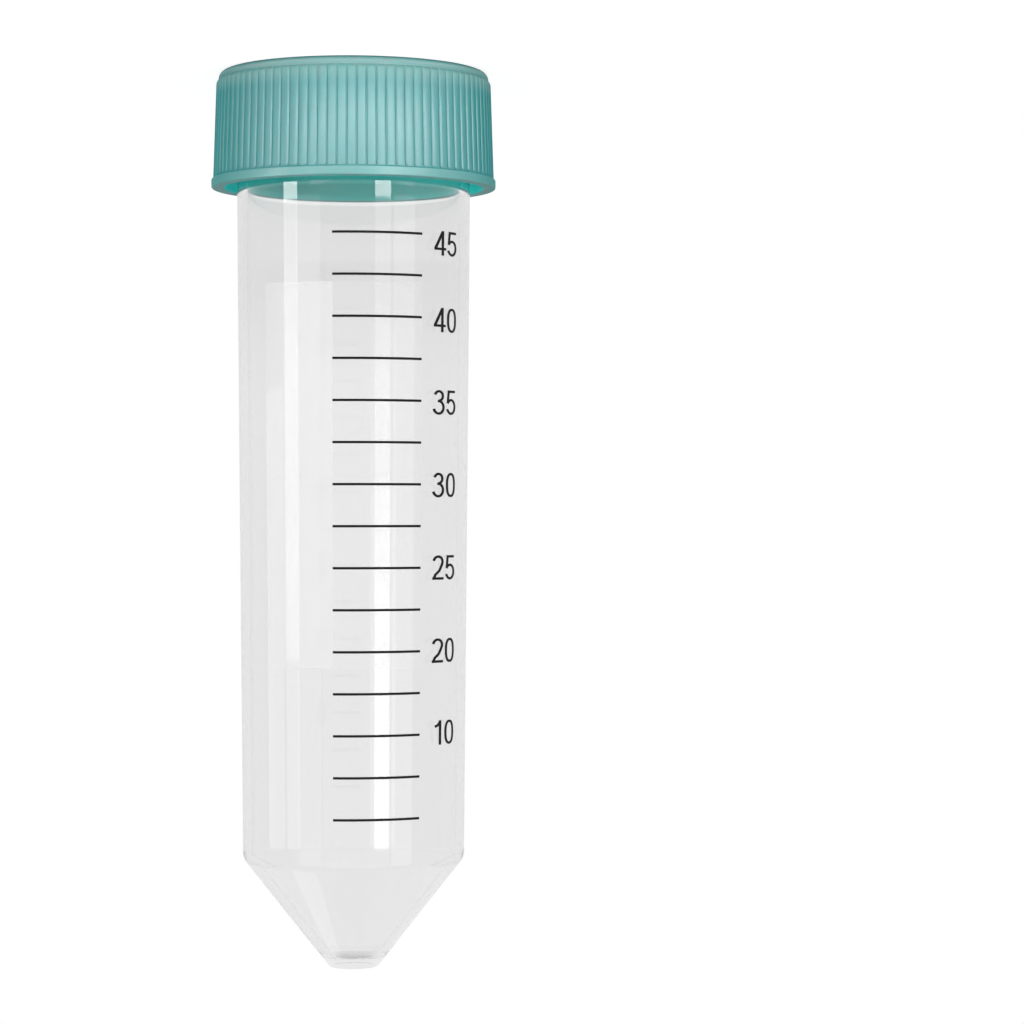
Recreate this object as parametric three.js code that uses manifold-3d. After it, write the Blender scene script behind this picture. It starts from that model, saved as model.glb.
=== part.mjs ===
// A 50 ml conical centrifuge tube with a ribbed screw cap and a loose sealing disc.
//
// Millimetres, +Z up. The closed tube stands on the flat top of its cap, mouth down and tip up.
// The origin is the centre of the cap's flat top, so every height is measured up from there.
// The tube and the cap carry a real right-hand thread that runs clear of its partner.

import * as THREE from 'three';
import { mergeGeometries, mergeVertices } from 'three/addons/utils/BufferGeometryUtils.js';
import Module from 'manifold-3d';

// ---- driving dimensions ----

const overallHeight = 115; // cap's flat top to the flat end of the tip

const capHeight = 14.9; // flat top to open edge
const capPlate = 1.6; // thickness of the flat top
const capCorner = 0.9; // rounding round the flat top
const capInnerRadius = 16.4; // inside the skirt, at the plate
const capMouthRadius = 16.6; // inside the skirt, at the open edge
const capInnerCorner = 0.5; // chamfer between plate and skirt
const lipRadius = 18.28; // plain band round the open edge
const lipHeight = 1.25;
const lipEdge = 0.2; // small chamfers on the band

const ribCount = 90;
const ribRise = 0.3; // ribs stand this far out of the skirt
const ribTopRadius = 17.65; // over the ribs, by the flat top
const ribFootRadius = 18.05; // over the ribs, by the band
const ribStart = 1.1; // height where the ribs begin to rise
const ribFull = 1.6; // height where they are full
const grooveFloor = 0.1; // width of the gap between ribs, at its floor
const grooveMouth = 0.42; // and at the rib tops
const grooveLift = 0.03; // the gap's floor stays this far off the plain wall by the corner
const grooveStop = 0.1; // the gaps end this far short of the band

const sealThickness = 1;
const sealRadius = 15.9;
const restGap = 0.05; // air between the plate, the disc and the tube's rim

const bodyRadius = 15; // neck, root of the thread and the body by the cap
const bodyRadiusAtCone = 14.22; // the body tapers to this
const neckGap = 0.8; // plain neck showing between cap and tapered body
const rimEdge = 0.35; // rounding on the rim
const wall = 1.2; // neck, body and cone

const coneLength = 14.1;
const coneTipRadius = 3.1; // where the cone's line meets the flat end
const tipEdge = 0.3;
const tipFloor = 1.5; // solid material behind the flat end
const shoulderBlend = 2; // rounding where body meets cone
const innerBlend = 1.4;
const floorBlend = 1.2; // rounding inside, where cone meets floor

const threadPitch = 3;
const threadSink = 0.35; // how deep a ridge's foot is buried in its wall
const threadRunOut = 0.12; // share of a turn over which an end sinks away
const threadStepsPerTurn = 36;
const neckThread = {
  wallRadius: bodyRadius,
  crestRadius: 16.05,
  footWidth: 1.5,
  crestWidth: 0.6,
  startHeight: 5.4,
  turns: 1.6,
};
const capThread = {
  wallRadius: capInnerRadius,
  crestRadius: 15.35,
  footWidth: 1.4,
  crestWidth: 0.5,
  startHeight: 5.4 + threadPitch / 2,
  turns: 1.5,
};

const tubeSegments = 72;
const smallRounding = 0.5; // roundings below this get two facets, the others four

// ---- worked out from them ----

const rimHeight = capPlate + sealThickness + 2 * restGap;
const neckTop = capHeight + neckGap;
const coneStart = overallHeight - coneLength;
const coneSlope = (bodyRadiusAtCone - coneTipRadius) / coneLength;
const coneWallAcross = wall * Math.hypot(1, coneSlope);
const bodyInnerAtCone = bodyRadiusAtCone - wall;
const innerConeDepth = (bodyInnerAtCone + coneWallAcross - coneTipRadius) / coneSlope;
const tipInnerRadius = coneTipRadius + coneSlope * tipFloor - coneWallAcross;

const wasm = await Module();
wasm.setup();

// ---- shared shapes ----

// Points of a closed outline in (radius, height), with its corners rounded where a radius is given.
function roundedOutline(corners) {
  const points = [];
  corners.forEach(([radius, height, rounding = 0], index) => {
    const corner = new THREE.Vector2(radius, height);
    if (rounding === 0) {
      points.push(corner);
      return;
    }
    const before = new THREE.Vector2(...corners[index - 1].slice(0, 2)).sub(corner).normalize();
    const after = new THREE.Vector2(...corners[index + 1].slice(0, 2)).sub(corner).normalize();
    const halfAngle = Math.acos(before.dot(after)) / 2;
    const reach = rounding / Math.tan(halfAngle);
    const from = corner.clone().addScaledVector(before, reach);
    const to = corner.clone().addScaledVector(after, reach);
    const middle = before.clone().add(after).normalize();
    const centre = corner.clone().addScaledVector(middle, rounding / Math.sin(halfAngle));
    const start = Math.atan2(from.y - centre.y, from.x - centre.x);
    const end = Math.atan2(to.y - centre.y, to.x - centre.x);
    const sweep = THREE.MathUtils.euclideanModulo(end - start + Math.PI, 2 * Math.PI) - Math.PI;
    const facets = rounding < smallRounding ? 2 : 4;
    for (let step = 0; step <= facets; step++) {
      const angle = start + (sweep * step) / facets;
      const x = centre.x + rounding * Math.cos(angle);
      const y = centre.y + rounding * Math.sin(angle);
      points.push(new THREE.Vector2(x, y));
    }
  });
  return points;
}

// A solid of revolution about +Z. The outline runs from the axis and back to it, with the
// material on its left.
function revolve(corners, segments) {
  const lathe = new THREE.LatheGeometry(roundedOutline(corners), segments);
  lathe.rotateX(Math.PI / 2);
  return welded(lathe);
}

// The same surface with shared corners merged and the empty triangles at the axis left out.
function welded(geometry) {
  geometry.deleteAttribute('normal');
  geometry.deleteAttribute('uv');
  const merged = mergeVertices(geometry, 1e-4);
  const kept = [];
  for (let i = 0; i < merged.index.count; i += 3) {
    const [a, b, c] = [0, 1, 2].map((k) => merged.index.getX(i + k));
    if (a !== b && b !== c && c !== a) {
      kept.push(a, b, c);
    }
  }
  merged.setIndex(kept);
  return merged;
}

function solidOf(geometry) {
  return new wasm.Manifold(
    new wasm.Mesh({
      numProp: 3,
      vertProperties: new Float32Array(geometry.attributes.position.array),
      triVerts: new Uint32Array(geometry.index.array),
    }),
  );
}

function geometryOf(solid) {
  const mesh = solid.getMesh();
  const geometry = new THREE.BufferGeometry();
  geometry.setAttribute('position', new THREE.BufferAttribute(mesh.vertProperties, 3));
  geometry.setIndex(new THREE.BufferAttribute(mesh.triVerts, 1));
  geometry.computeVertexNormals();
  return geometry;
}

// A right-hand helical ridge of trapezoid section. Its foot is buried in the wall that carries it,
// and at both ends its crest sinks into that wall. A crest inside the wall radius points inwards.
function threadRidge({ wallRadius, crestRadius, footWidth, crestWidth, startHeight, turns }) {
  const steps = Math.round(turns * threadStepsPerTurn);
  const side = Math.sign(crestRadius - wallRadius);
  const footRadius = wallRadius - side * threadSink;
  const sunkCrest = wallRadius - (side * threadSink) / 2;
  const positions = [];
  for (let step = 0; step <= steps; step++) {
    const turn = (turns * step) / steps;
    const angle = 2 * Math.PI * turn;
    const height = startHeight + threadPitch * turn;
    const share = Math.min(1, turn / threadRunOut, (turns - turn) / threadRunOut);
    const crest = THREE.MathUtils.lerp(sunkCrest, crestRadius, share);
    const section = [
      [footRadius, -footWidth / 2],
      [crest, -crestWidth / 2],
      [crest, crestWidth / 2],
      [footRadius, footWidth / 2],
    ];
    if (side < 0) {
      section.reverse();
    }
    for (const [radius, rise] of section) {
      positions.push(radius * Math.cos(angle), radius * Math.sin(angle), height + rise);
    }
  }
  const index = [0, 1, 2, 0, 2, 3];
  for (let step = 0; step < steps; step++) {
    for (let corner = 0; corner < 4; corner++) {
      const a = 4 * step + corner;
      const b = 4 * step + ((corner + 1) % 4);
      index.push(b, a, a + 4, b, a + 4, b + 4);
    }
  }
  const last = 4 * steps;
  index.push(last, last + 2, last + 1, last, last + 3, last + 2);
  const geometry = new THREE.BufferGeometry();
  geometry.setAttribute('position', new THREE.Float32BufferAttribute(positions, 3));
  geometry.setIndex(index);
  return geometry;
}

// ---- the pieces ----

// Moulded in one: body, cone with a flat tip, neck and thread, open at the mouth.
function tubeGeometry() {
  const revolved = revolve(
    [
      [0, overallHeight - tipFloor],
      [tipInnerRadius, overallHeight - tipFloor, floorBlend],
      [bodyInnerAtCone, overallHeight - innerConeDepth, innerBlend],
      [bodyRadius - wall, rimHeight, rimEdge],
      [bodyRadius, rimHeight, rimEdge],
      [bodyRadius, neckTop],
      [bodyRadiusAtCone, coneStart, shoulderBlend],
      [coneTipRadius, overallHeight, tipEdge],
      [0, overallHeight],
    ],
    tubeSegments,
  );
  return geometryOf(solidOf(revolved).add(solidOf(threadRidge(neckThread))));
}

// The gaps between the ribs: one tapered bar each, leaning with the skirt and open to the outside.
function ribGaps() {
  const lean = Math.atan2(ribFootRadius - ribTopRadius, capHeight - lipHeight - ribFull);
  const clearOfWall = 1;
  const flank = (grooveMouth - grooveFloor) / 2 / ribRise;
  const outerHalf = grooveFloor / 2 + flank * clearOfWall;
  const section = new THREE.Shape();
  section.moveTo(-grooveFloor / 2, 0);
  section.lineTo(-outerHalf, -clearOfWall);
  section.lineTo(outerHalf, -clearOfWall);
  section.lineTo(grooveFloor / 2, 0);
  section.closePath();
  const start = ribStart / 2;
  const length = (capHeight - lipHeight - grooveStop - start) / Math.cos(lean);
  const floorAtStart = ribTopRadius - ribRise + grooveLift - (ribFull - start) * Math.tan(lean);
  const gaps = [];
  for (let rib = 0; rib < ribCount; rib++) {
    const bar = new THREE.ExtrudeGeometry(section, { depth: length, bevelEnabled: false });
    bar.rotateX(lean);
    bar.translate(0, -floorAtStart, start);
    bar.rotateZ((2 * Math.PI * rib) / ribCount);
    gaps.push(welded(bar));
  }
  return mergeGeometries(gaps);
}

// Moulded in one: flat top, ribbed skirt with a plain band, and the thread inside.
function capGeometry() {
  const bandStart = capHeight - lipHeight;
  const baseRadius = ribTopRadius - ribRise;
  const revolved = revolve(
    [
      [0, 0],
      [baseRadius, 0, capCorner],
      [baseRadius, ribStart],
      [ribTopRadius, ribFull],
      [ribFootRadius, bandStart],
      [lipRadius, bandStart + lipEdge],
      [lipRadius, capHeight - lipEdge],
      [lipRadius - lipEdge, capHeight],
      [capMouthRadius + lipEdge, capHeight],
      [capMouthRadius, capHeight - lipEdge],
      [capInnerRadius, capPlate + capInnerCorner],
      [capInnerRadius - capInnerCorner, capPlate],
      [0, capPlate],
    ],
    ribCount,
  );
  const shell = solidOf(revolved).subtract(solidOf(ribGaps()));
  return geometryOf(shell.add(solidOf(threadRidge(capThread))));
}

// A soft disc that lies loose under the plate and seals against the rim.
function sealGeometry() {
  const low = capPlate + restGap;
  return revolve(
    [
      [0, low],
      [sealRadius, low],
      [sealRadius, low + sealThickness],
      [0, low + sealThickness],
    ],
    tubeSegments,
  );
}

function piece(name, geometry, look) {
  const mesh = new THREE.Mesh(geometry, new THREE.MeshStandardMaterial(look));
  mesh.name = name;
  return mesh;
}

const group = new THREE.Group();
group.add(
  piece('tube', tubeGeometry(), {
    color: 0xe9ebeb,
    roughness: 0.2,
    metalness: 0,
    transparent: true,
    opacity: 0.4,
  }),
  piece('screw_cap', capGeometry(), { color: 0x86bfc0, roughness: 0.45, metalness: 0 }),
  piece('seal_disc', sealGeometry(), { color: 0xf2f2ee, roughness: 0.8, metalness: 0 }),
);

export default group;
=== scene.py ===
"""The dressed 50 ml conical tube, standing on its cap: fine meshes, materials, print, light and camera."""
import math

import bmesh
import bpy
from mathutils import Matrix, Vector


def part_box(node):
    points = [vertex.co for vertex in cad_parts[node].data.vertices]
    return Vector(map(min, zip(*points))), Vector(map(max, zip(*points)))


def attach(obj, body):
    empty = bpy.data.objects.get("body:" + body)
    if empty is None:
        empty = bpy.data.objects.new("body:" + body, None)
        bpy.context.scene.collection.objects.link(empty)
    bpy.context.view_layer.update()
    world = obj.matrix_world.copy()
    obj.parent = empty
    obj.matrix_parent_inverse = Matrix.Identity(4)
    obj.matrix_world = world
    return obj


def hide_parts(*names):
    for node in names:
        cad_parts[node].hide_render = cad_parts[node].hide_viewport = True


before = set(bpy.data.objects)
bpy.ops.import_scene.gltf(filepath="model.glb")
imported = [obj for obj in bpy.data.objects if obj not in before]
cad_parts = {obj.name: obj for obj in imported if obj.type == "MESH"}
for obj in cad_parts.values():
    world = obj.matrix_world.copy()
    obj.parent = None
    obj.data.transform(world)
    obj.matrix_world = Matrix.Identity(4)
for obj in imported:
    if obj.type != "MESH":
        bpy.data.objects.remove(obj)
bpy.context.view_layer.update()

MM = 0.001
TURN = 2 * math.pi

# ---- places from the frame ----

tube_low, tube_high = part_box("tube")
cap_low, cap_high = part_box("screw_cap")
seal_low, seal_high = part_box("seal_disc")

OVERALL_HEIGHT = tube_high[2]
RIM_HEIGHT = tube_low[2]
CAP_HEIGHT = cap_high[2]
LIP_RADIUS = max(cap_high[0], cap_high[1])
SEAL_RADIUS = max(seal_high[0], seal_high[1])

# ---- driving dimensions ----

BODY_RADIUS = 15 * MM  # neck, root of the thread and the body by the cap
BODY_RADIUS_AT_CONE = 14.22 * MM
NECK_SHOWING = 0.8 * MM  # between the cap's edge and the tapered body
RIM_EDGE = 0.35 * MM
WALL = 1.2 * MM
CONE_LENGTH = 14.1 * MM
CONE_TIP_RADIUS = 3.1 * MM
TIP_EDGE = 0.3 * MM
TIP_FLOOR = 1.5 * MM
SHOULDER_BLEND = 2 * MM
INNER_BLEND = 1.4 * MM
FLOOR_BLEND = 1.2 * MM

CAP_PLATE = 1.6 * MM
CAP_CORNER = 0.9 * MM
CAP_INNER_RADIUS = 16.4 * MM
CAP_MOUTH_RADIUS = 16.6 * MM
CAP_INNER_CORNER = 0.5 * MM
LIP_HEIGHT = 1.25 * MM
LIP_EDGE = 0.2 * MM
LIP_FLAT = (0.5 * MM, 0.7 * MM)  # where two outlines meet on the lip, outside the mouth's radius
BAND_EDGE = 0.08 * MM
RIB_COUNT = 90
RIB_RISE = 0.3 * MM
RIB_TOP_RADIUS = 17.65 * MM
RIB_FOOT_RADIUS = 18.05 * MM
RIB_START = 1.1 * MM
RIB_FULL = 1.6 * MM
RIB_CROWN = 0.09 * MM
# the grooves are narrower and shallower than the solids' own
GROOVE_DEPTH = 0.085 * MM
GROOVE_FLOOR = 0.06 * MM
GROOVE_MOUTH = 0.32 * MM
GROOVE_RUN_OUT = 0.25 * MM  # how far before the band the grooves start to close

THREAD_PITCH = 3 * MM
THREAD_RUN_OUT = 0.12  # share of a turn over which an end sinks away
# the ridges' widths differ a little from the solids' own
NECK_THREAD = {
    "wall": BODY_RADIUS,
    "crest": 16.05 * MM,
    "foot_width": 1.35 * MM,
    "crest_width": 0.55 * MM,
    "start": 5.4 * MM,
    "turns": 1.6,
}
CAP_THREAD = {
    "wall": CAP_INNER_RADIUS,
    "crest": 15.35 * MM,
    "foot_width": 1.25 * MM,
    "crest_width": 0.45 * MM,
    "start": 6.9 * MM,
    "turns": 1.5,
}

SEAL_EDGE = 0.12 * MM
RIM_MARK_DEPTH = 0.06 * MM
RIM_MARK_SPREAD = 0.3 * MM

# ---- how fine the meshes are ----

TUBE_COLUMNS = 640
CAP_INSIDE_COLUMNS = 252
SEAL_COLUMNS = 180
NECK_THREAD_STEP = 0.17 * MM
CAP_THREAD_STEP = 0.12 * MM
GROOVE_SIDE_SHARES = (0.33, 0.67, 1)
RIB_SHARES = (0.25, 0.55)
RIB_START_ROWS = 6
RIB_ROWS = 12
GROOVE_END_ROWS = 5
ARC_STEP = math.radians(7)
ARC_SUPPORT = 0.15 * MM  # how far from an arc its supporting point stands
SHARP_ANGLE = math.radians(32)

# ---- worked out from them ----

NECK_TOP = CAP_HEIGHT + NECK_SHOWING
INNER_FLOOR = OVERALL_HEIGHT - TIP_FLOOR
CONE_START = OVERALL_HEIGHT - CONE_LENGTH
CONE_SLOPE = (BODY_RADIUS_AT_CONE - CONE_TIP_RADIUS) / CONE_LENGTH
CONE_WALL_ACROSS = WALL * math.hypot(1, CONE_SLOPE)
BODY_INNER_AT_CONE = BODY_RADIUS_AT_CONE - WALL
INNER_CONE_DEPTH = (BODY_INNER_AT_CONE + CONE_WALL_ACROSS - CONE_TIP_RADIUS) / CONE_SLOPE
TIP_INNER_RADIUS = CONE_TIP_RADIUS + CONE_SLOPE * TIP_FLOOR - CONE_WALL_ACROSS
MOUTH_RADIUS = BODY_RADIUS - WALL
BAND_START = CAP_HEIGHT - LIP_HEIGHT
GROOVE_END = BAND_START - GROOVE_RUN_OUT
CAP_BASE_RADIUS = RIB_TOP_RADIUS - RIB_RISE
RIB_LEAN = (RIB_FOOT_RADIUS - RIB_TOP_RADIUS) / (BAND_START - RIB_FULL)


def body_radius_at(height):
    """Outside radius of the tapered body."""
    share = (height - NECK_TOP) / (CONE_START - NECK_TOP)
    return BODY_RADIUS + (BODY_RADIUS_AT_CONE - BODY_RADIUS) * share


# ---- mesh helpers ----


def smoothstep(low, high, value):
    share = min(1.0, max(0.0, (value - low) / (high - low)))
    return share * share * (3 - 2 * share)


def lerp(a, b, share):
    return a + (b - a) * share


def spaced(low, high, count):
    """Evenly spaced values from the low one to the high one, with so many gaps between them."""
    return [lerp(low, high, index / count) for index in range(count + 1)]


def rounded_outline(corners):
    """Points (radius, height) of an outline whose corners (radius, height, rounding) get true arcs.

    A long straight gets a point just inside each end, so that smooth shading stays on the rounding.
    """
    points = []
    for index, (radius, height, rounding) in enumerate(corners):
        corner = Vector((radius, height))
        if rounding == 0:
            points.append(corner)
            continue
        before = (Vector(corners[index - 1][:2]) - corner).normalized()
        after = (Vector(corners[index + 1][:2]) - corner).normalized()
        half_angle = before.angle(after) / 2
        reach = rounding / math.tan(half_angle)
        start = corner + before * reach
        end = corner + after * reach
        centre = corner + (before + after).normalized() * (rounding / math.sin(half_angle))
        sweep = math.pi - 2 * half_angle
        steps = max(2, math.ceil(sweep / ARC_STEP))
        for step in range(steps + 1):
            share = step / steps
            weight_start = math.sin((1 - share) * sweep) / math.sin(sweep)
            weight_end = math.sin(share * sweep) / math.sin(sweep)
            points.append(centre + (start - centre) * weight_start + (end - centre) * weight_end)
    supported = [points[0]]
    for before, after in zip(points, points[1:]):
        length = (after - before).length
        if length > 4 * ARC_SUPPORT:
            along = (after - before) / length
            supported.append(before + along * ARC_SUPPORT)
            supported.append(after - along * ARC_SUPPORT)
        supported.append(after)
    return [(point.x, point.y) for point in supported]


def even_angles(count):
    return [TURN * index / count for index in range(count)]


def add_ring(bm, angles, radii, height):
    """One ring of vertices, with a radius for each angle."""
    return [
        bm.verts.new((radius * math.cos(angle), radius * math.sin(angle), height))
        for angle, radius in zip(angles, radii)
    ]


def add_round_rings(bm, angles, outline):
    """A round ring at each (radius, height) of the outline, or a single vertex where it meets the axis."""
    rings = []
    for radius, height in outline:
        if radius:
            rings.append(add_ring(bm, angles, [radius] * len(angles), height))
        else:
            rings.append([bm.verts.new((0, 0, height))])
    return rings


def add_threaded_rings(bm, angles, thread, heights, wall_at):
    """A ring at each height on a wall that carries a thread."""
    rings = []
    for height in heights:
        radii = [wall_at(height) + thread_relief(thread, angle, height) for angle in angles]
        rings.append(add_ring(bm, angles, radii, height))
    return rings


def bridge(bm, first, second):
    """Faces between two rings. One ring may be a point, or have a whole multiple of the other's corners."""
    if len(first) == 1 or len(second) == 1:
        point, ring = (first[0], second) if len(first) == 1 else (second[0], first)
        for index, vert in enumerate(ring):
            following = ring[(index + 1) % len(ring)]
            bm.faces.new((point, vert, following) if len(first) == 1 else (point, following, vert))
        return
    count = min(len(first), len(second))
    first_share = len(first) // count
    second_share = len(second) // count
    for index in range(count):
        low = [first[(index * first_share + step) % len(first)] for step in range(first_share + 1)]
        high = [second[(index * second_share + step) % len(second)] for step in range(second_share + 1)]
        bm.faces.new(low[::-1] + high)


def finished_mesh(name, bm):
    """An object from the bmesh, facing outwards, smooth except at its sharp edges."""
    bmesh.ops.recalc_face_normals(bm, faces=bm.faces[:])
    for face in bm.faces:
        face.smooth = True
    for edge in bm.edges:
        edge.smooth = not (edge.is_manifold and edge.calc_face_angle(0.0) > SHARP_ANGLE)
    mesh = bpy.data.meshes.new(name)
    bm.to_mesh(mesh)
    bm.free()
    obj = bpy.data.objects.new(name, mesh)
    bpy.context.scene.collection.objects.link(obj)
    return obj


def skin_over(name, bm, rings):
    """The finished object from rings in order, each joined to the next."""
    for first, second in zip(rings, rings[1:]):
        bridge(bm, first, second)
    return finished_mesh(name, bm)


def thread_relief(thread, angle, height):
    """How far a right-hand thread's ridge stands off its wall at one place on it."""
    turn = (angle / TURN) % 1.0
    share = 0.0
    while turn <= thread["turns"]:
        offset = abs(height - thread["start"] - THREAD_PITCH * turn)
        ridge = 1 - smoothstep(thread["crest_width"] / 2, thread["foot_width"] / 2, offset)
        ends = min(1.0, turn / THREAD_RUN_OUT, (thread["turns"] - turn) / THREAD_RUN_OUT)
        share = max(share, ridge * ends)
        turn += 1
    return share * (thread["crest"] - thread["wall"])


def thread_rows(thread, step):
    """Heights of the rows that carry a thread, from just before it to just after it."""
    low = thread["start"] - thread["foot_width"]
    high = thread["start"] + THREAD_PITCH * thread["turns"] + thread["foot_width"]
    return spaced(low, high, math.ceil((high - low) / step))


# ---- the tube ----


def make_tube():
    """The clear moulding, from the middle of its inner floor out over the rim and back to the tip."""
    rows = thread_rows(NECK_THREAD, NECK_THREAD_STEP)
    inside = rounded_outline(
        [
            (0, INNER_FLOOR, 0),
            (TIP_INNER_RADIUS, INNER_FLOOR, FLOOR_BLEND),
            (BODY_INNER_AT_CONE, OVERALL_HEIGHT - INNER_CONE_DEPTH, INNER_BLEND),
            (MOUTH_RADIUS, RIM_HEIGHT, RIM_EDGE),
            (BODY_RADIUS, RIM_HEIGHT, RIM_EDGE),
            (BODY_RADIUS, rows[0], 0),
        ]
    )
    outside = rounded_outline(
        [
            (BODY_RADIUS, rows[-1], 0),
            (BODY_RADIUS, NECK_TOP, 0),
            (BODY_RADIUS_AT_CONE, CONE_START, SHOULDER_BLEND),
            (CONE_TIP_RADIUS, OVERALL_HEIGHT, TIP_EDGE),
            (0, OVERALL_HEIGHT, 0),
        ]
    )
    angles = even_angles(TUBE_COLUMNS)
    bm = bmesh.new()
    rings = add_round_rings(bm, angles, inside)
    rings += add_threaded_rings(bm, angles, NECK_THREAD, rows[1:-1], lambda height: BODY_RADIUS)
    rings += add_round_rings(bm, angles, outside)
    return skin_over("clear_tube", bm, rings)


# ---- the cap ----


def rib_columns():
    """Columns of the ribbed skirt as (angle, depth below the rib's crest), closer together in the grooves."""
    mid_radius = (RIB_TOP_RADIUS + RIB_FOOT_RADIUS) / 2
    half_pitch = math.pi * mid_radius / RIB_COUNT
    one_side = [GROOVE_FLOOR / 2]
    one_side += [lerp(GROOVE_FLOOR / 2, GROOVE_MOUTH / 2, share) for share in GROOVE_SIDE_SHARES]
    one_side += [lerp(GROOVE_MOUTH / 2, half_pitch, share) for share in RIB_SHARES]
    offsets = [-offset for offset in reversed(one_side)] + [0.0] + one_side + [half_pitch]
    columns = []
    for rib in range(RIB_COUNT):
        for offset in offsets:
            crown = RIB_CROWN * (1 - abs(offset) / half_pitch) ** 2
            groove = GROOVE_DEPTH * (1 - smoothstep(GROOVE_FLOOR / 2, GROOVE_MOUTH / 2, abs(offset)))
            columns.append((TURN * (rib / RIB_COUNT - 0.25) + offset / mid_radius, crown + groove))
    return columns


def skirt_radii(columns, height):
    """The ribbed skirt's radius at each column: ribs rise from the corner, and grooves end at the band."""
    rise = math.sin(math.pi / 2 * min(1.0, max(0.0, (height - RIB_START) / (RIB_FULL - RIB_START))))
    crest = CAP_BASE_RADIUS + RIB_LEAN * max(0.0, height - RIB_FULL) + RIB_RISE * rise
    open_share = rise * (1 - smoothstep(GROOVE_END, BAND_START, height))
    return [crest - depth * open_share for _, depth in columns]


def cap_inner_radius_at(height):
    """Inside radius of the cap's wall, which opens a little towards the mouth."""
    slope = (CAP_MOUTH_RADIUS - CAP_INNER_RADIUS) / (CAP_HEIGHT - CAP_PLATE)
    return CAP_INNER_RADIUS + slope * (height - CAP_PLATE)


def make_cap():
    """The cap, from the middle of its top down over the ribs and the band and back up inside."""
    columns = rib_columns()
    angles = [angle for angle, _ in columns]
    inside_angles = [angles[0] + angle for angle in even_angles(CAP_INSIDE_COLUMNS)]
    rows = thread_rows(CAP_THREAD, CAP_THREAD_STEP)
    corner = rounded_outline(
        [
            (0, 0, 0),
            (CAP_BASE_RADIUS, 0, CAP_CORNER),
            (CAP_BASE_RADIUS, RIB_START, 0),
        ]
    )
    band = rounded_outline(
        [
            (RIB_FOOT_RADIUS, BAND_START, 0),
            (LIP_RADIUS, BAND_START + LIP_EDGE, BAND_EDGE),
            (LIP_RADIUS, CAP_HEIGHT, LIP_EDGE),
            (CAP_MOUTH_RADIUS + LIP_FLAT[1], CAP_HEIGHT, 0),
        ]
    )
    mouth = rounded_outline(
        [
            (CAP_MOUTH_RADIUS + LIP_FLAT[0], CAP_HEIGHT, 0),
            (CAP_MOUTH_RADIUS, CAP_HEIGHT, LIP_EDGE),
            (cap_inner_radius_at(rows[-1]), rows[-1], 0),
        ]
    )
    ceiling = rounded_outline(
        [
            (cap_inner_radius_at(rows[0]), rows[0], 0),
            (CAP_INNER_RADIUS, CAP_PLATE, CAP_INNER_CORNER),
            (0, CAP_PLATE, 0),
        ]
    )
    skirt_heights = spaced(RIB_START, RIB_FULL, RIB_START_ROWS)[1:]
    skirt_heights += spaced(RIB_FULL, GROOVE_END, RIB_ROWS)[1:]
    skirt_heights += spaced(GROOVE_END, BAND_START, GROOVE_END_ROWS)[1:-1]

    bm = bmesh.new()
    rings = add_round_rings(bm, angles, corner)
    rings += [add_ring(bm, angles, skirt_radii(columns, height), height) for height in skirt_heights]
    rings += add_round_rings(bm, angles, band)
    rings += add_round_rings(bm, inside_angles, mouth[:-1])
    rings += add_threaded_rings(bm, inside_angles, CAP_THREAD, rows[::-1], cap_inner_radius_at)
    rings += add_round_rings(bm, inside_angles, ceiling[1:])
    return skin_over("ribbed_cap", bm, rings)


def make_seal():
    """The soft disc, with the shallow groove that the tube's rim presses into it."""
    outline = rounded_outline(
        [
            (0, seal_low[2], 0),
            (SEAL_RADIUS, seal_low[2], SEAL_EDGE),
            (SEAL_RADIUS, seal_high[2], SEAL_EDGE),
            (MOUTH_RADIUS + WALL + RIM_MARK_SPREAD, seal_high[2], 0),
            (MOUTH_RADIUS + WALL / 2, seal_high[2] - RIM_MARK_DEPTH, 0),
            (MOUTH_RADIUS - RIM_MARK_SPREAD, seal_high[2], 0),
            (0, seal_high[2], 0),
        ]
    )
    bm = bmesh.new()
    return skin_over("foam_seal", bm, add_round_rings(bm, even_angles(SEAL_COLUMNS), outline))


# ---- the print ----

LINE_COUNT = 15
LINE_SPACING = 5.229 * MM
FIRST_LINE = 21.66 * MM
LINE_WIDTH = 0.31 * MM
LINE_LEFT = math.radians(-7.5)
LINE_RIGHT = math.radians(37.8)
LINE_COLUMNS = 32
INK_LIFT = (0.016 * MM, 0.034 * MM)
PANEL_LIFT = (0.004 * MM, 0.012 * MM)
PANEL_LOW = 27.8 * MM
PANEL_HIGH = 75.95 * MM
PATCH_LEFT = math.radians(-45)
PATCH_RIGHT = math.radians(-7.3)
PANEL_RIGHT = math.radians(38)
PANEL_COLUMN = math.radians(1.5)
PANEL_ROWS = 4

# a number, the line it stands by (counted from the cap) and how much lower than the line it sits
NUMBERS = (
    ("45", 0, 1.0 * MM),
    ("40", 2, 0.2 * MM),
    ("35", 4, 0.1 * MM),
    ("30", 6, 0.05 * MM),
    ("25", 8, 0),
    ("20", 10, 0),
    ("10", 12, -0.1 * MM),
)
NUMBER_LEFT = math.radians(45.4)
DIGIT_HEIGHT = 3.08 * MM
DIGIT_WIDTH = 2.15 * MM
DIGIT_GAP = 0.35 * MM
STROKE = 0.104  # of the digit's height
NARROW = 0.455  # a digit's drawn width, of its height, before it is stretched to DIGIT_WIDTH
ZERO_POINTS = 40
ZERO_SQUARENESS = 0.82  # 1 is an ellipse, and less is squarer


def on_body(angle, height, lift):
    """A point on the body. The angle runs from the front towards the picture's right."""
    radius = body_radius_at(height) + lift
    return (-radius * math.sin(angle), -radius * math.cos(angle), height)


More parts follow.
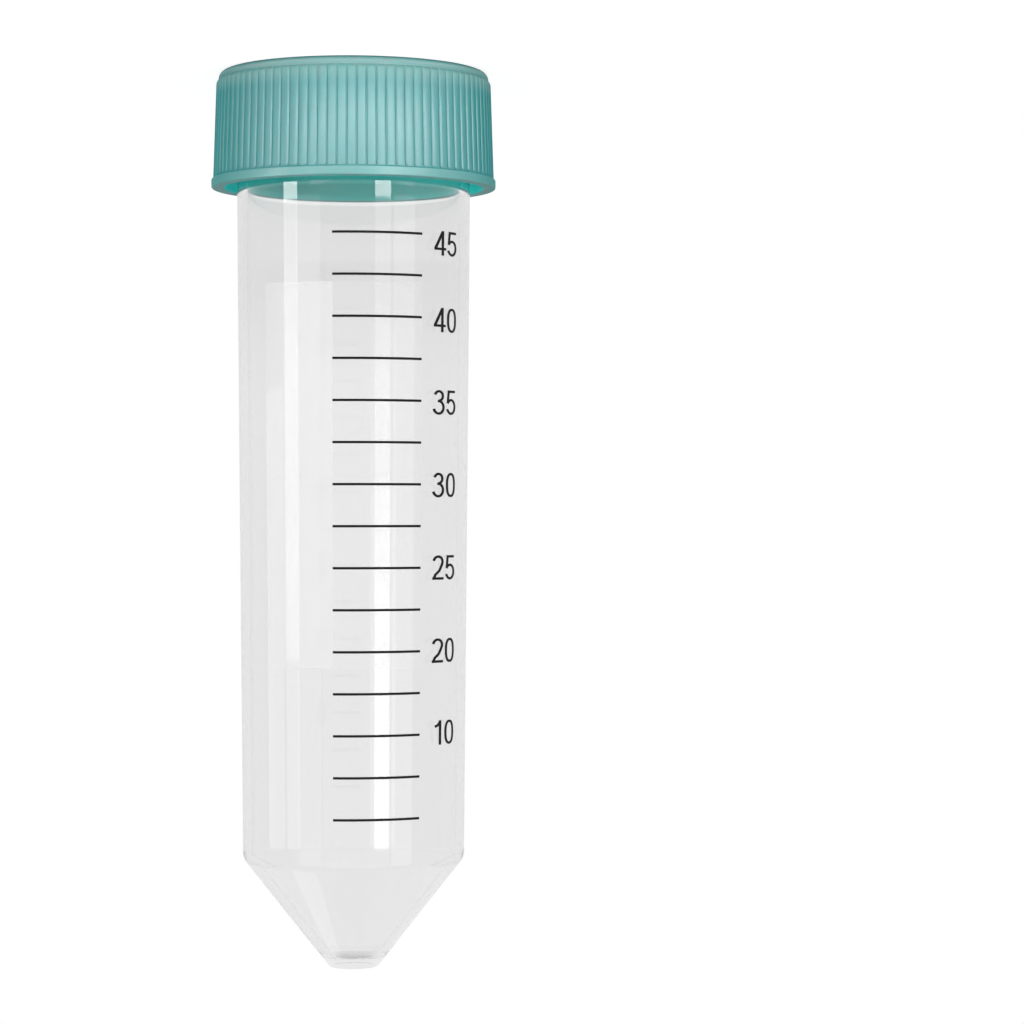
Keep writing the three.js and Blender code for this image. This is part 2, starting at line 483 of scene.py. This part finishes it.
def add_film(bm, rows, lift, closed=False):
    """A thin closed layer on the body from rows of (angle, height) points."""
    low, high = lift
    bottom = [[bm.verts.new(on_body(a, z, low)) for a, z in row] for row in rows]
    top = [[bm.verts.new(on_body(a, z, high)) for a, z in row] for row in rows]
    row_count = len(rows)
    count = len(rows[0])
    strips = count if closed else count - 1
    for r in range(row_count - 1):
        for c in range(strips):
            d = (c + 1) % count
            bm.faces.new((top[r][c], top[r][d], top[r + 1][d], top[r + 1][c]))
            bm.faces.new((bottom[r][c], bottom[r + 1][c], bottom[r + 1][d], bottom[r][d]))
    for c in range(strips):
        d = (c + 1) % count
        bm.faces.new((bottom[0][c], bottom[0][d], top[0][d], top[0][c]))
        bm.faces.new((top[-1][c], top[-1][d], bottom[-1][d], bottom[-1][c]))
    if closed:
        return
    for r in range(row_count - 1):
        bm.faces.new((top[r][0], top[r + 1][0], bottom[r + 1][0], bottom[r][0]))
        bm.faces.new((bottom[r][-1], bottom[r + 1][-1], top[r + 1][-1], top[r][-1]))


def grid(angles, heights):
    return [[(angle, height) for angle in angles] for height in heights]


def make_panel(name, left, right):
    """A plain printed area between two angles."""
    angles = spaced(left, right, math.ceil((right - left) / PANEL_COLUMN))
    bm = bmesh.new()
    add_film(bm, grid(angles, spaced(PANEL_LOW, PANEL_HIGH, PANEL_ROWS)), PANEL_LIFT)
    return finished_mesh(name, bm)


def make_lines():
    angles = spaced(LINE_LEFT, LINE_RIGHT, LINE_COLUMNS)
    bm = bmesh.new()
    for index in range(LINE_COUNT):
        low = FIRST_LINE + LINE_SPACING * index - LINE_WIDTH / 2
        add_film(bm, grid(angles, (low, low + LINE_WIDTH)), INK_LIFT)
    return finished_mesh("graduation_lines", bm)


def arc(centre_x, centre_y, reach_x, reach_y, start, end, steps=16):
    """Points of an elliptic arc, angles in degrees, 0 to the right and 90 up."""
    angles = [math.radians(degrees) for degrees in spaced(start, end, steps)]
    return [(centre_x + reach_x * math.cos(angle), centre_y + reach_y * math.sin(angle)) for angle in angles]


def straight(start, end, steps=6):
    return list(zip(spaced(start[0], end[0], steps), spaced(start[1], end[1], steps)))


def digit_strokes(digit):
    """Centre lines of a plain sans digit, in units of its height, as (points, closed)."""
    half = STROKE / 2
    left = half
    right = NARROW - half
    middle = NARROW / 2
    reach = middle - half
    top = 1 - half
    if digit == "0":
        ring = []
        for angle in even_angles(ZERO_POINTS):
            x = math.copysign(abs(math.cos(angle)) ** ZERO_SQUARENESS, math.cos(angle))
            y = math.copysign(abs(math.sin(angle)) ** ZERO_SQUARENESS, math.sin(angle))
            ring.append((middle + reach * x, 0.5 + (0.5 - half) * y))
        return [(ring, True)]
    if digit == "1":
        stem = right - 0.06
        return [
            (straight((stem, 0), (stem, 1)), False),
            (arc(stem - 0.26, 1.02, 0.26, 0.27, -80, -5, 8), False),
        ]
    if digit == "2":
        bowl = arc(middle, 0.735, reach, top - 0.735, 170, -20)
        sweep = [(right - 0.06, 0.53), (middle + 0.04, 0.36), (left + 0.06, 0.2), (left + 0.01, half)]
        return [
            (bowl + sweep, False),
            (straight((0, half), (NARROW, half)), False),
        ]
    if digit == "3":
        return [
            (arc(middle - 0.01, 0.755, reach - 0.02, top - 0.755, 165, -88), False),
            (arc(middle - 0.02, 0.29, reach + 0.02, 0.255, 90, -165, 20), False),
            (straight((middle - 0.06, 0.545), (middle + 0.01, 0.545), 2), False),
        ]
    if digit == "4":
        stem = right - 0.07
        bar = 0.265
        return [
            (straight((stem, 0), (stem, 1)), False),
            (straight((stem, 0.985), (left - 0.01, bar + 0.01)), False),
            (straight((0, bar), (NARROW + 0.02, bar)), False),
        ]
    return [
        (straight((left + 0.03, top), (right + 0.02, top)), False),
        (straight((left + 0.055, 1), (left + 0.01, 0.47)), False),
        (arc(middle - 0.01, 0.325, reach + 0.01, 0.28, 150, -160, 22), False),
    ]


def stroke_sides(points, closed):
    """The two edges of a stroke of even width along a centre line."""
    count = len(points)
    edges = []
    for index, point in enumerate(points):
        before = points[(index - 1) % count] if closed or index > 0 else point
        after = points[(index + 1) % count] if closed or index < count - 1 else point
        along = (Vector(after) - Vector(before)).normalized()
        across = Vector((-along.y, along.x)) * (STROKE / 2)
        edges.append((Vector(point) + across, Vector(point) - across))
    return edges


def make_numbers():
    """The numbers, whose tops point to the cap."""
    stretch = DIGIT_WIDTH / (NARROW * DIGIT_HEIGHT)
    bm = bmesh.new()
    for text, line, drop in NUMBERS:
        middle = FIRST_LINE + LINE_SPACING * line + drop
        radius = body_radius_at(middle)
        for place, digit in enumerate(text):
            start = NUMBER_LEFT + place * (DIGIT_WIDTH + DIGIT_GAP) / radius

            def placed(point):
                across = point[0] * DIGIT_HEIGHT * stretch
                return (start + across / radius, middle - (point[1] - 0.5) * DIGIT_HEIGHT)

            for points, closed in digit_strokes(digit):
                sides = stroke_sides(points, closed)
                rows = [[placed(pair[side]) for pair in sides] for side in (0, 1)]
                add_film(bm, rows, INK_LIFT, closed)
    return finished_mesh("graduation_numbers", bm)


# ---- materials ----


def grey(level):
    return (level, level, level)


CLEAR = grey(1)
CLEAR_IOR = 1.49
BODY_TINTS = (grey(0.775), grey(0.795))  # of the outer skin, in faint upright streaks
NECK_PAINTED_SHADE = grey(0.72)  # of the body by the cap: painted shade, a deeper grey there
CONE_TINT = grey(0.805)
THREAD_TINT = grey(0.86)
FLOOR_LINE_SHADE = grey(0.67)  # of the edge of the inner floor: painted shade in place of the dark line that refraction makes above the tip
END_TINT = grey(0.86)
END_IOR = 1.004  # of the side of the solid end, where the plastic's own index renders as dark arcs
INNER_END_ROUGHNESS = 0.3
SHADOW_TINT = grey(0.98)
WALL_DENSITY = 12.0
WALL_COLOUR = (0.2, 0.21, 0.21)

# each zone of the tube or the cap begins between two heights
# the neck's top ring is left untinted: a painted highlight, the bright line under the cap's lip
HIGHLIGHT_RING_BEGINS = (NECK_TOP - 1.5 * MM, NECK_TOP - MM)
BODY_BEGINS = (NECK_TOP - 0.15 * MM, NECK_TOP + 0.1 * MM)
NECK_SHADE_ENDS = (24 * MM, 42 * MM)
CONE_BEGINS = (CONE_START - MM, CONE_START + MM)
INNER_END_BEGINS = (OVERALL_HEIGHT - 3.0 * MM, OVERALL_HEIGHT - 2.2 * MM)
FLOOR_EDGE_BEGINS = (INNER_FLOOR - 0.42 * MM, INNER_FLOOR - 0.34 * MM)
SOLID_END_BEGINS = (INNER_FLOOR + 0.02 * MM, INNER_FLOOR + 0.12 * MM)
FLAT_END_BEGINS = (OVERALL_HEIGHT - 0.04 * MM, OVERALL_HEIGHT - 0.01 * MM)

CAP_COLOURS = ((0.027, 0.225, 0.23), (0.037, 0.245, 0.25))
# painted light: the rounded corner and the ribs' first rise, which face the floor, made lighter
CAP_EDGE_PAINTED_LIGHT = (0.13, 0.32, 0.31)
CAP_EDGE = ((0.05 * MM, 0.35 * MM), (1.3 * MM, 3.6 * MM))  # where that painted light begins, and where it ends
# painted highlight along the cap's rounded corner
CAP_CORNER_HIGHLIGHT = (0.2, 0.37, 0.36)
CAP_CORNER_LIGHT = ((0.35 * MM, 0.5 * MM), (0.7 * MM, 0.85 * MM))
# painted highlight: the band lighter
CAP_BAND_HIGHLIGHT = (0.085, 0.29, 0.285)
CAP_BAND_BEGINS = (BAND_START, BAND_START + LIP_EDGE)
CAP_INSIDE = (0.02, 0.52, 0.49)  # brighter, for the light that comes through the real thin skirt
CAP_INSIDE_BEGINS = (0.8 * MM, MM)
CAP_INSIDE_RADIUS = CAP_MOUTH_RADIUS + 0.35 * MM
# painted light: the lip's underside paler
CAP_LIP_PAINTED_LIGHT = (0.13, 0.27, 0.27)
CAP_LIP_BEGINS = (CAP_HEIGHT - 0.15 * MM, CAP_HEIGHT - 0.03 * MM)
CAP_GLOSS = (1.0, 0.2)  # seen square on, and at a glance

PATCH_COVER = 0.14
PANEL_COVER = 0.04

MIX_NUMBERS = (2, 3)  # the Mix node's sockets for two numbers
MIX_COLOURS = (6, 7)  # and for two colours
MIX_COLOUR_RESULT = 2


class Nodes:
    """The node tree of a new material or world, with short calls to fill it."""

    def __init__(self, owner, output):
        self.owner = owner
        owner.use_nodes = True
        self.tree = owner.node_tree
        self.tree.nodes.clear()
        self.output = self.add(output)

    @property
    def place(self):
        """Where a point is on the object, in metres."""
        return self.add("ShaderNodeTexCoord").outputs["Object"]

    def add(self, kind, **values):
        """A node with its properties and its sockets' values set by name."""
        node = self.tree.nodes.new(kind)
        for name, value in values.items():
            if hasattr(node, name) and name not in node.inputs:
                setattr(node, name, value)
            else:
                node.inputs[name].default_value = value
        return node

    def link(self, source, target):
        self.tree.links.new(source, target)

    def put(self, value, socket):
        """Gives a socket a number, a colour, or another node's output."""
        if isinstance(value, bpy.types.NodeSocket):
            self.link(value, socket)
        elif isinstance(value, tuple):
            socket.default_value = (*value, 1)
        else:
            socket.default_value = value

    def math(self, operation, first, second):
        node = self.add("ShaderNodeMath", operation=operation)
        self.put(first, node.inputs[0])
        self.put(second, node.inputs[1])
        return node.outputs[0]

    def only(self, mask, *others):
        """The mask without what the others cover."""
        for other in others:
            mask = self.math("SUBTRACT", mask, other)
        return mask

    def mix(self, factor, first, second):
        """The first colour at 0 and the second at 1."""
        node = self.add("ShaderNodeMix", data_type="RGBA")
        self.link(factor, node.inputs[0])
        self.put(first, node.inputs[MIX_COLOURS[0]])
        self.put(second, node.inputs[MIX_COLOURS[1]])
        return node.outputs[MIX_COLOUR_RESULT]

    def mix_numbers(self, factor, first, second):
        """The first number at 0 and the second at 1."""
        node = self.add("ShaderNodeMix", data_type="FLOAT")
        self.link(factor, node.inputs[0])
        self.put(first, node.inputs[MIX_NUMBERS[0]])
        self.put(second, node.inputs[MIX_NUMBERS[1]])
        return node.outputs[0]

    def ranged(self, source, low, high, first=0.0, last=1.0, curve="LINEAR"):
        """The first value where the source is low and the last where it is high."""
        limits = {"From Min": low, "From Max": high, "To Min": first, "To Max": last}
        node = self.add("ShaderNodeMapRange", interpolation_type=curve, **limits)
        self.link(source, node.inputs["Value"])
        return node.outputs["Result"]

    def noise(self, scale, detail=3.0, stretch=(1, 1, 1)):
        """Noise in object space; scale is per metre, and stretch squeezes it along an axis."""
        mapping = self.add("ShaderNodeMapping", Scale=stretch)
        self.link(self.place, mapping.inputs["Vector"])
        noise = self.add("ShaderNodeTexNoise", Scale=scale, Detail=detail, Roughness=0.55)
        self.link(mapping.outputs["Vector"], noise.inputs["Vector"])
        return noise.outputs["Fac"]

    def spread(self, noise, low, high):
        """Noise, which keeps to the middle of 0 to 1, stretched to the given range."""
        return self.ranged(noise, 0.3, 0.7, low, high)

    def height(self):
        split = self.add("ShaderNodeSeparateXYZ")
        self.link(self.place, split.inputs[0])
        return split.outputs["Z"]

    def above(self, low, high):
        """0 below the lower height on the object, 1 above the higher one."""
        return self.ranged(self.height(), low, high, curve="SMOOTHSTEP")

    def outside_of(self, slope, limit):
        """1 where radius + slope * height passes the limit, which leaves a tapered wall's inner face at 0."""
        flat = self.add("ShaderNodeVectorMath", operation="MULTIPLY")
        flat.inputs[1].default_value = (1, 1, 0)
        self.link(self.place, flat.inputs[0])
        length = self.add("ShaderNodeVectorMath", operation="LENGTH")
        self.link(flat.outputs["Vector"], length.inputs[0])
        total = self.math("MULTIPLY_ADD", self.height(), slope)
        self.link(length.outputs["Value"], total.node.inputs[2])
        return self.math("GREATER_THAN", total, limit)

    def facing(self, low, high, first=0.0, last=1.0):
        """The first value where the surface is seen square on, the last where it is seen at a glance."""
        weight = self.add("ShaderNodeLayerWeight", Blend=0.5)
        return self.ranged(weight.outputs["Facing"], low, high, first, last)

    def bump(self, source, depth, strength, normal=None):
        bump = self.add("ShaderNodeBump", Strength=strength, Distance=depth)
        self.link(source, bump.inputs["Height"])
        if normal:
            self.link(normal, bump.inputs["Normal"])
        return bump.outputs["Normal"]

    def finish(self, surface):
        self.link(surface, self.output.inputs["Surface"])
        return self.owner


def material_nodes(name):
    return Nodes(bpy.data.materials.new(name), "ShaderNodeOutputMaterial")


def tube_skin(nodes):
    """1 on the tube's outer skin and on its thread, 0 on the inside."""
    taper = (BODY_RADIUS - BODY_RADIUS_AT_CONE) / (CONE_START - NECK_TOP)
    return nodes.math(
        "MAXIMUM",
        nodes.outside_of(taper, BODY_RADIUS + taper * NECK_TOP - WALL / 2),
        nodes.outside_of(CONE_SLOPE, CONE_TIP_RADIUS + CONE_SLOPE * OVERALL_HEIGHT - CONE_WALL_ACROSS / 2),
    )


def clear_plastic():
    """Clear polypropylene, with a faint grey tint of its skin in place of the haze inside the wall."""
    nodes = material_nodes("clear_plastic")
    shader = nodes.add("ShaderNodeBsdfPrincipled", IOR=CLEAR_IOR)
    shader.inputs["Transmission Weight"].default_value = 1.0
    skin = tube_skin(nodes)
    drawn = nodes.noise(900, 2, (1, 1, 0.02))
    solid_end = nodes.above(*SOLID_END_BEGINS)

    # painted highlight: the untinted ring at the neck's top
    neck = nodes.mix(nodes.above(*HIGHLIGHT_RING_BEGINS), THREAD_TINT, CLEAR)
    # painted shade: the body greyer towards the cap
    body = nodes.mix(nodes.above(*NECK_SHADE_ENDS), NECK_PAINTED_SHADE, nodes.mix(drawn, *BODY_TINTS))
    body = nodes.mix(nodes.above(*CONE_BEGINS), body, CONE_TINT)
    tint_and_painted_light = nodes.mix(skin, CLEAR, nodes.mix(nodes.above(*BODY_BEGINS), neck, body))
    # painted shade: a dark ring at the inner floor's edge
    shaded_floor_edge = nodes.only(nodes.above(*FLOOR_EDGE_BEGINS), skin, solid_end)
    tint_and_painted_light = nodes.mix(solid_end, nodes.mix(shaded_floor_edge, tint_and_painted_light, FLOOR_LINE_SHADE), END_TINT)
    nodes.link(tint_and_painted_light, shader.inputs["Base Color"])

    inner_end = nodes.only(nodes.above(*INNER_END_BEGINS), skin, solid_end)
    gloss = nodes.spread(drawn, 0.028, 0.036)
    nodes.link(nodes.mix_numbers(inner_end, gloss, INNER_END_ROUGHNESS), shader.inputs["Roughness"])
    end_side = nodes.only(solid_end, nodes.above(*FLAT_END_BEGINS))
    nodes.link(nodes.ranged(end_side, 0, 1, CLEAR_IOR, END_IOR), shader.inputs["IOR"])

    lit_through = nodes.add("ShaderNodeBsdfTransparent", Color=(*SHADOW_TINT, 1))
    path = nodes.add("ShaderNodeLightPath")
    either = nodes.add("ShaderNodeMixShader")
    nodes.link(path.outputs["Is Shadow Ray"], either.inputs[0])
    nodes.link(shader.outputs[0], either.inputs[1])
    nodes.link(lit_through.outputs[0], either.inputs[2])
    absorption = nodes.add("ShaderNodeVolumeAbsorption", Color=(*WALL_COLOUR, 1), Density=WALL_DENSITY)
    nodes.link(absorption.outputs[0], nodes.output.inputs["Volume"])
    return nodes.finish(either.outputs[0])


def teal_plastic():
    """Satin moulded cap plastic, a little translucent, with a fine grain; painted light and highlights make
    its corner, band, lip and inside lighter.
    """
    nodes = material_nodes("teal_plastic")
    shader = nodes.add("ShaderNodeBsdfPrincipled", IOR=1.5)
    inside = nodes.only(nodes.above(*CAP_INSIDE_BEGINS), nodes.outside_of(0, CAP_INSIDE_RADIUS))
    colour = nodes.mix(nodes.noise(900, 4), *CAP_COLOURS)
    # painted light and highlights: each zone lighter than the plastic's own teal
    for zone, tint_and_painted_light in (
        (nodes.only(*(nodes.above(*heights) for heights in CAP_EDGE)), CAP_EDGE_PAINTED_LIGHT),
        (nodes.only(*(nodes.above(*heights) for heights in CAP_CORNER_LIGHT)), CAP_CORNER_HIGHLIGHT),
        (nodes.above(*CAP_BAND_BEGINS), CAP_BAND_HIGHLIGHT),
        (inside, CAP_INSIDE),
        (nodes.above(*CAP_LIP_BEGINS), CAP_LIP_PAINTED_LIGHT),
    ):
        colour = nodes.mix(zone, colour, tint_and_painted_light)
    nodes.link(colour, shader.inputs["Base Color"])
    satin = nodes.spread(nodes.noise(1500, 3), 0.29, 0.33)
    nodes.link(nodes.mix_numbers(nodes.facing(0.15, 0.6), satin, 1.0), shader.inputs["Roughness"])
    shader.inputs["Subsurface Weight"].default_value = 0.7
    shader.inputs["Subsurface Radius"].default_value = (0.08, 1.0, 0.85)
    shader.inputs["Subsurface Scale"].default_value = 2.5 * MM
    grain = nodes.bump(nodes.noise(9000, 3), 0.01 * MM, 0.35)
    flow = nodes.bump(nodes.noise(250, 2, (1, 1, 0.3)), 0.03 * MM, 0.4, grain)
    nodes.link(flow, shader.inputs["Normal"])
    nodes.link(nodes.facing(0.25, 0.7, *CAP_GLOSS), shader.inputs["Specular IOR Level"])
    return nodes.finish(shader.outputs[0])


def seal_foam():
    """Pale closed-cell foam with a fine skin."""
    nodes = material_nodes("seal_foam")
    shader = nodes.add("ShaderNodeBsdfPrincipled")
    colour = nodes.mix(nodes.noise(2500, 4), (0.74, 0.74, 0.7), (0.84, 0.84, 0.81))
    nodes.link(colour, shader.inputs["Base Color"])
    nodes.link(nodes.spread(nodes.noise(3000, 2), 0.7, 0.85), shader.inputs["Roughness"])
    nodes.link(nodes.bump(nodes.noise(6000, 3), 0.03 * MM, 0.5), shader.inputs["Normal"])
    return nodes.finish(shader.outputs[0])


def black_ink():
    """Screen-printed ink, slightly uneven in gloss and density."""
    nodes = material_nodes("black_ink")
    shader = nodes.add("ShaderNodeBsdfPrincipled")
    colour = nodes.mix(nodes.noise(5000, 3), grey(0.001), grey(0.004))
    nodes.link(colour, shader.inputs["Base Color"])
    nodes.link(nodes.spread(nodes.noise(4000, 2), 0.5, 0.65), shader.inputs["Roughness"])
    shader.inputs["Specular IOR Level"].default_value = 0.15
    return nodes.finish(shader.outputs[0])


def white_film(name, cover):
    """A thin white printed layer that lets part of the light through."""
    nodes = material_nodes(name)
    shader = nodes.add("ShaderNodeBsdfPrincipled", Alpha=cover)
    colour = nodes.mix(nodes.noise(3000, 3), grey(0.93), grey(0.97))
    nodes.link(colour, shader.inputs["Base Color"])
    nodes.link(nodes.spread(nodes.noise(2500, 2), 0.06, 0.12), shader.inputs["Roughness"])
    return nodes.finish(shader.outputs[0])


# ---- the studio ----

CAMERA_PLACE = (-20.4 * MM, -408 * MM, 56.5 * MM)
CAMERA_LENS = 111.27
SENSOR_WIDTH = 36
AMBIENT = 0.15  # the world's light on the object; the background itself shows white

FLOOR_SIZE = 4
FLOOR_DROP = 0.02 * MM
FLOOR_FADE = (0.07, 0.2)  # the floor goes from its own shade to plain white between these distances
FLOOR_SHADE = grey(0.55)  # for the light that it throws back
FLOOR_SEEN = (grey(0.3), grey(0.02))  # near the object, where its shadow lies, and far from it
FLOOR_GLOW = (0.85, 1.0)


def background_share(nodes):
    """1 for the rays that show the background: straight from the camera, mirrored, or through glass."""
    path = nodes.add("ShaderNodeLightPath")
    share = nodes.math("MAXIMUM", path.outputs["Is Camera Ray"], path.outputs["Is Glossy Ray"])
    return nodes.math("MAXIMUM", share, path.outputs["Is Transmission Ray"])


def floor_material():
    """A white studio floor that keeps the object's shadow."""
    nodes = material_nodes("studio_floor")
    seen = background_share(nodes)
    length = nodes.add("ShaderNodeVectorMath", operation="LENGTH")
    nodes.link(nodes.place, length.inputs[0])
    away = nodes.ranged(length.outputs["Value"], *FLOOR_FADE, curve="SMOOTHSTEP")
    diffuse = nodes.add("ShaderNodeBsdfDiffuse")
    nodes.link(nodes.mix(seen, FLOOR_SHADE, nodes.mix(away, *FLOOR_SEEN)), diffuse.inputs["Color"])
    glow = nodes.add("ShaderNodeEmission")
    strength = nodes.ranged(away, 0, 1, *FLOOR_GLOW)
    nodes.link(nodes.math("MULTIPLY", seen, strength), glow.inputs["Strength"])
    both = nodes.add("ShaderNodeAddShader")
    nodes.link(diffuse.outputs[0], both.inputs[0])
    nodes.link(glow.outputs[0], both.inputs[1])
    return nodes.finish(both.outputs[0])


def make_camera():
    """A level camera, turned half a turn about its own axis, so that the cap is at the top of the picture."""
    data = bpy.data.cameras.new("camera")
    data.lens = CAMERA_LENS
    data.sensor_width = SENSOR_WIDTH
    camera = bpy.data.objects.new("camera", data)
    camera.location = CAMERA_PLACE
    camera.rotation_euler = (math.pi / 2, math.pi, 0)
    bpy.context.scene.collection.objects.link(camera)
    bpy.context.scene.camera = camera


def make_floor():
    bm = bmesh.new()
    bmesh.ops.create_grid(bm, x_segments=8, y_segments=8, size=FLOOR_SIZE)
    floor = finished_mesh("floor", bm)
    floor.location = (0, 0, -FLOOR_DROP)
    floor.data.materials.append(floor_material())


def make_world():
    nodes = Nodes(bpy.data.worlds.new("studio"), "ShaderNodeOutputWorld")
    background = nodes.add("ShaderNodeBackground", Color=(*CLEAR, 1))
    nodes.link(nodes.ranged(background_share(nodes), 0, 1, AMBIENT, 1.0), background.inputs["Strength"])
    bpy.context.scene.world = nodes.finish(background.outputs[0])


def area_lamp(name, place, target, width, height, radiance):
    """A lamp of even radiance, pointing at the target; only its light and its reflection show."""
    data = bpy.data.lights.new(name, "AREA")
    data.shape = "RECTANGLE"
    data.size = width
    data.size_y = height
    data.energy = 4 * width * height * radiance
    lamp = bpy.data.objects.new(name, data)
    lamp.location = place
    lamp.rotation_euler = (target - place).to_track_quat("-Z", "Y").to_euler()
    lamp.visible_camera = False
    lamp.visible_transmission = False
    bpy.context.scene.collection.objects.link(lamp)
    return lamp


def softbox(name, degrees_right, distance, width, low, high, radiance, aim=None):
    """A soft lamp facing the tube's axis, so many degrees to the picture's right of the front.

    It stands upright, or is tipped to point at the aim height where one is given.
    """
    angle = math.radians(degrees_right)
    middle = (low + high) / 2
    place = Vector((-distance * math.sin(angle), -distance * math.cos(angle), middle))
    target = Vector((0, 0, middle if aim is None else aim))
    return area_lamp(name, place, target, width, high - low, radiance)


def strip(name, degrees_right, distance, width, steps):
    """An upright strip lamp in sections, from (height, radiance) pairs; the last pair is its top."""
    for index, ((low, radiance), (high, _)) in enumerate(zip(steps, steps[1:])):
        softbox(f"{name}_{index}", degrees_right, distance, width, low, high, radiance)


LAMP_DISTANCE = 0.13
LAMP_TOP = (0.113, 0)
RIGHT_STEPS = ((0.001, 8.5), (0.0078, 1.1), (0.025, 1.5), (0.04, 2.0), (0.055, 2.6), (0.07, 3.1), LAMP_TOP)
LEFT_STEPS = ((0.001, 8.5), (0.0078, 1.9), (0.018, 2.7), (0.03, 3.0), (0.072, 2.7), (0.082, 1.2), LAMP_TOP)
WIDE_STEPS = ((0.028, 0.5), (0.055, 1.0), LAMP_TOP)
FRONT_STEPS = ((0.0003, 5.3), (0.004, 1.2), (0.0085, 1.4), (0.0118, 0))


def make_lamps():
    """Strips whose reflections are the streaks on the tube and the cap, and soft lamps for the rest."""
    strip("right", 30, LAMP_DISTANCE, 0.034, RIGHT_STEPS)
    strip("left", -58.5, LAMP_DISTANCE, 0.034, LEFT_STEPS)
    strip("right_wide", 31, LAMP_DISTANCE + MM, 0.058, WIDE_STEPS)
    softbox("right_soft", 51, LAMP_DISTANCE, 0.05, 0.0072, 0.17, 1.0)
    softbox("left_soft", -40.5, LAMP_DISTANCE, 0.056, 0.0072, 0.17, 0.8)
    softbox("left_wide", -79, LAMP_DISTANCE, 0.05, 0.038, 0.113, 0.95)
    strip("front", 11, 0.043, 0.088, FRONT_STEPS)
    softbox("front_soft", 5, 0.6, 0.8, 0.02, 0.6, 0.55)
    softbox("back", 180, 0.3, 0.2, 0.0005, 0.15, 5.0).visible_glossy = False
    softbox("cone_glint", -104, 0.142, 0.08, 0.33, 0.41, 0.55, aim=0.105)


# ---- put together ----

CLEAR_BOUNCES = 48  # light crosses many clear walls
FILM_BOUNCES = 24


def dress(obj, material, body, *nodes, slot=None):
    obj.data.materials.append(material)
    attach(obj, body)
    if nodes:
        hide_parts(*nodes)


make_camera()
make_world()
make_floor()
make_lamps()

dress(make_tube(), clear_plastic(), "tube", "tube", slot="clear_tube")
dress(make_cap(), teal_plastic(), "cap", "screw_cap", slot="teal_cap")
dress(make_seal(), seal_foam(), "seal", "seal_disc", slot="seal")
ink = black_ink()
dress(make_lines(), ink, "tube", slot="clear_tube")
dress(make_numbers(), ink, "tube", slot="clear_tube")
patch = make_panel("write_on_patch", PATCH_LEFT, PATCH_RIGHT)
dress(patch, white_film("patch_white", PATCH_COVER), "tube", slot="clear_tube")
panel = make_panel("scale_panel", PATCH_RIGHT, PANEL_RIGHT)
dress(panel, white_film("panel_white", PANEL_COVER), "tube", slot="clear_tube")

scene = bpy.context.scene
scene.view_settings.view_transform = "Standard"
scene.cycles.max_bounces = CLEAR_BOUNCES
scene.cycles.transmission_bounces = CLEAR_BOUNCES
scene.cycles.transparent_max_bounces = FILM_BOUNCES
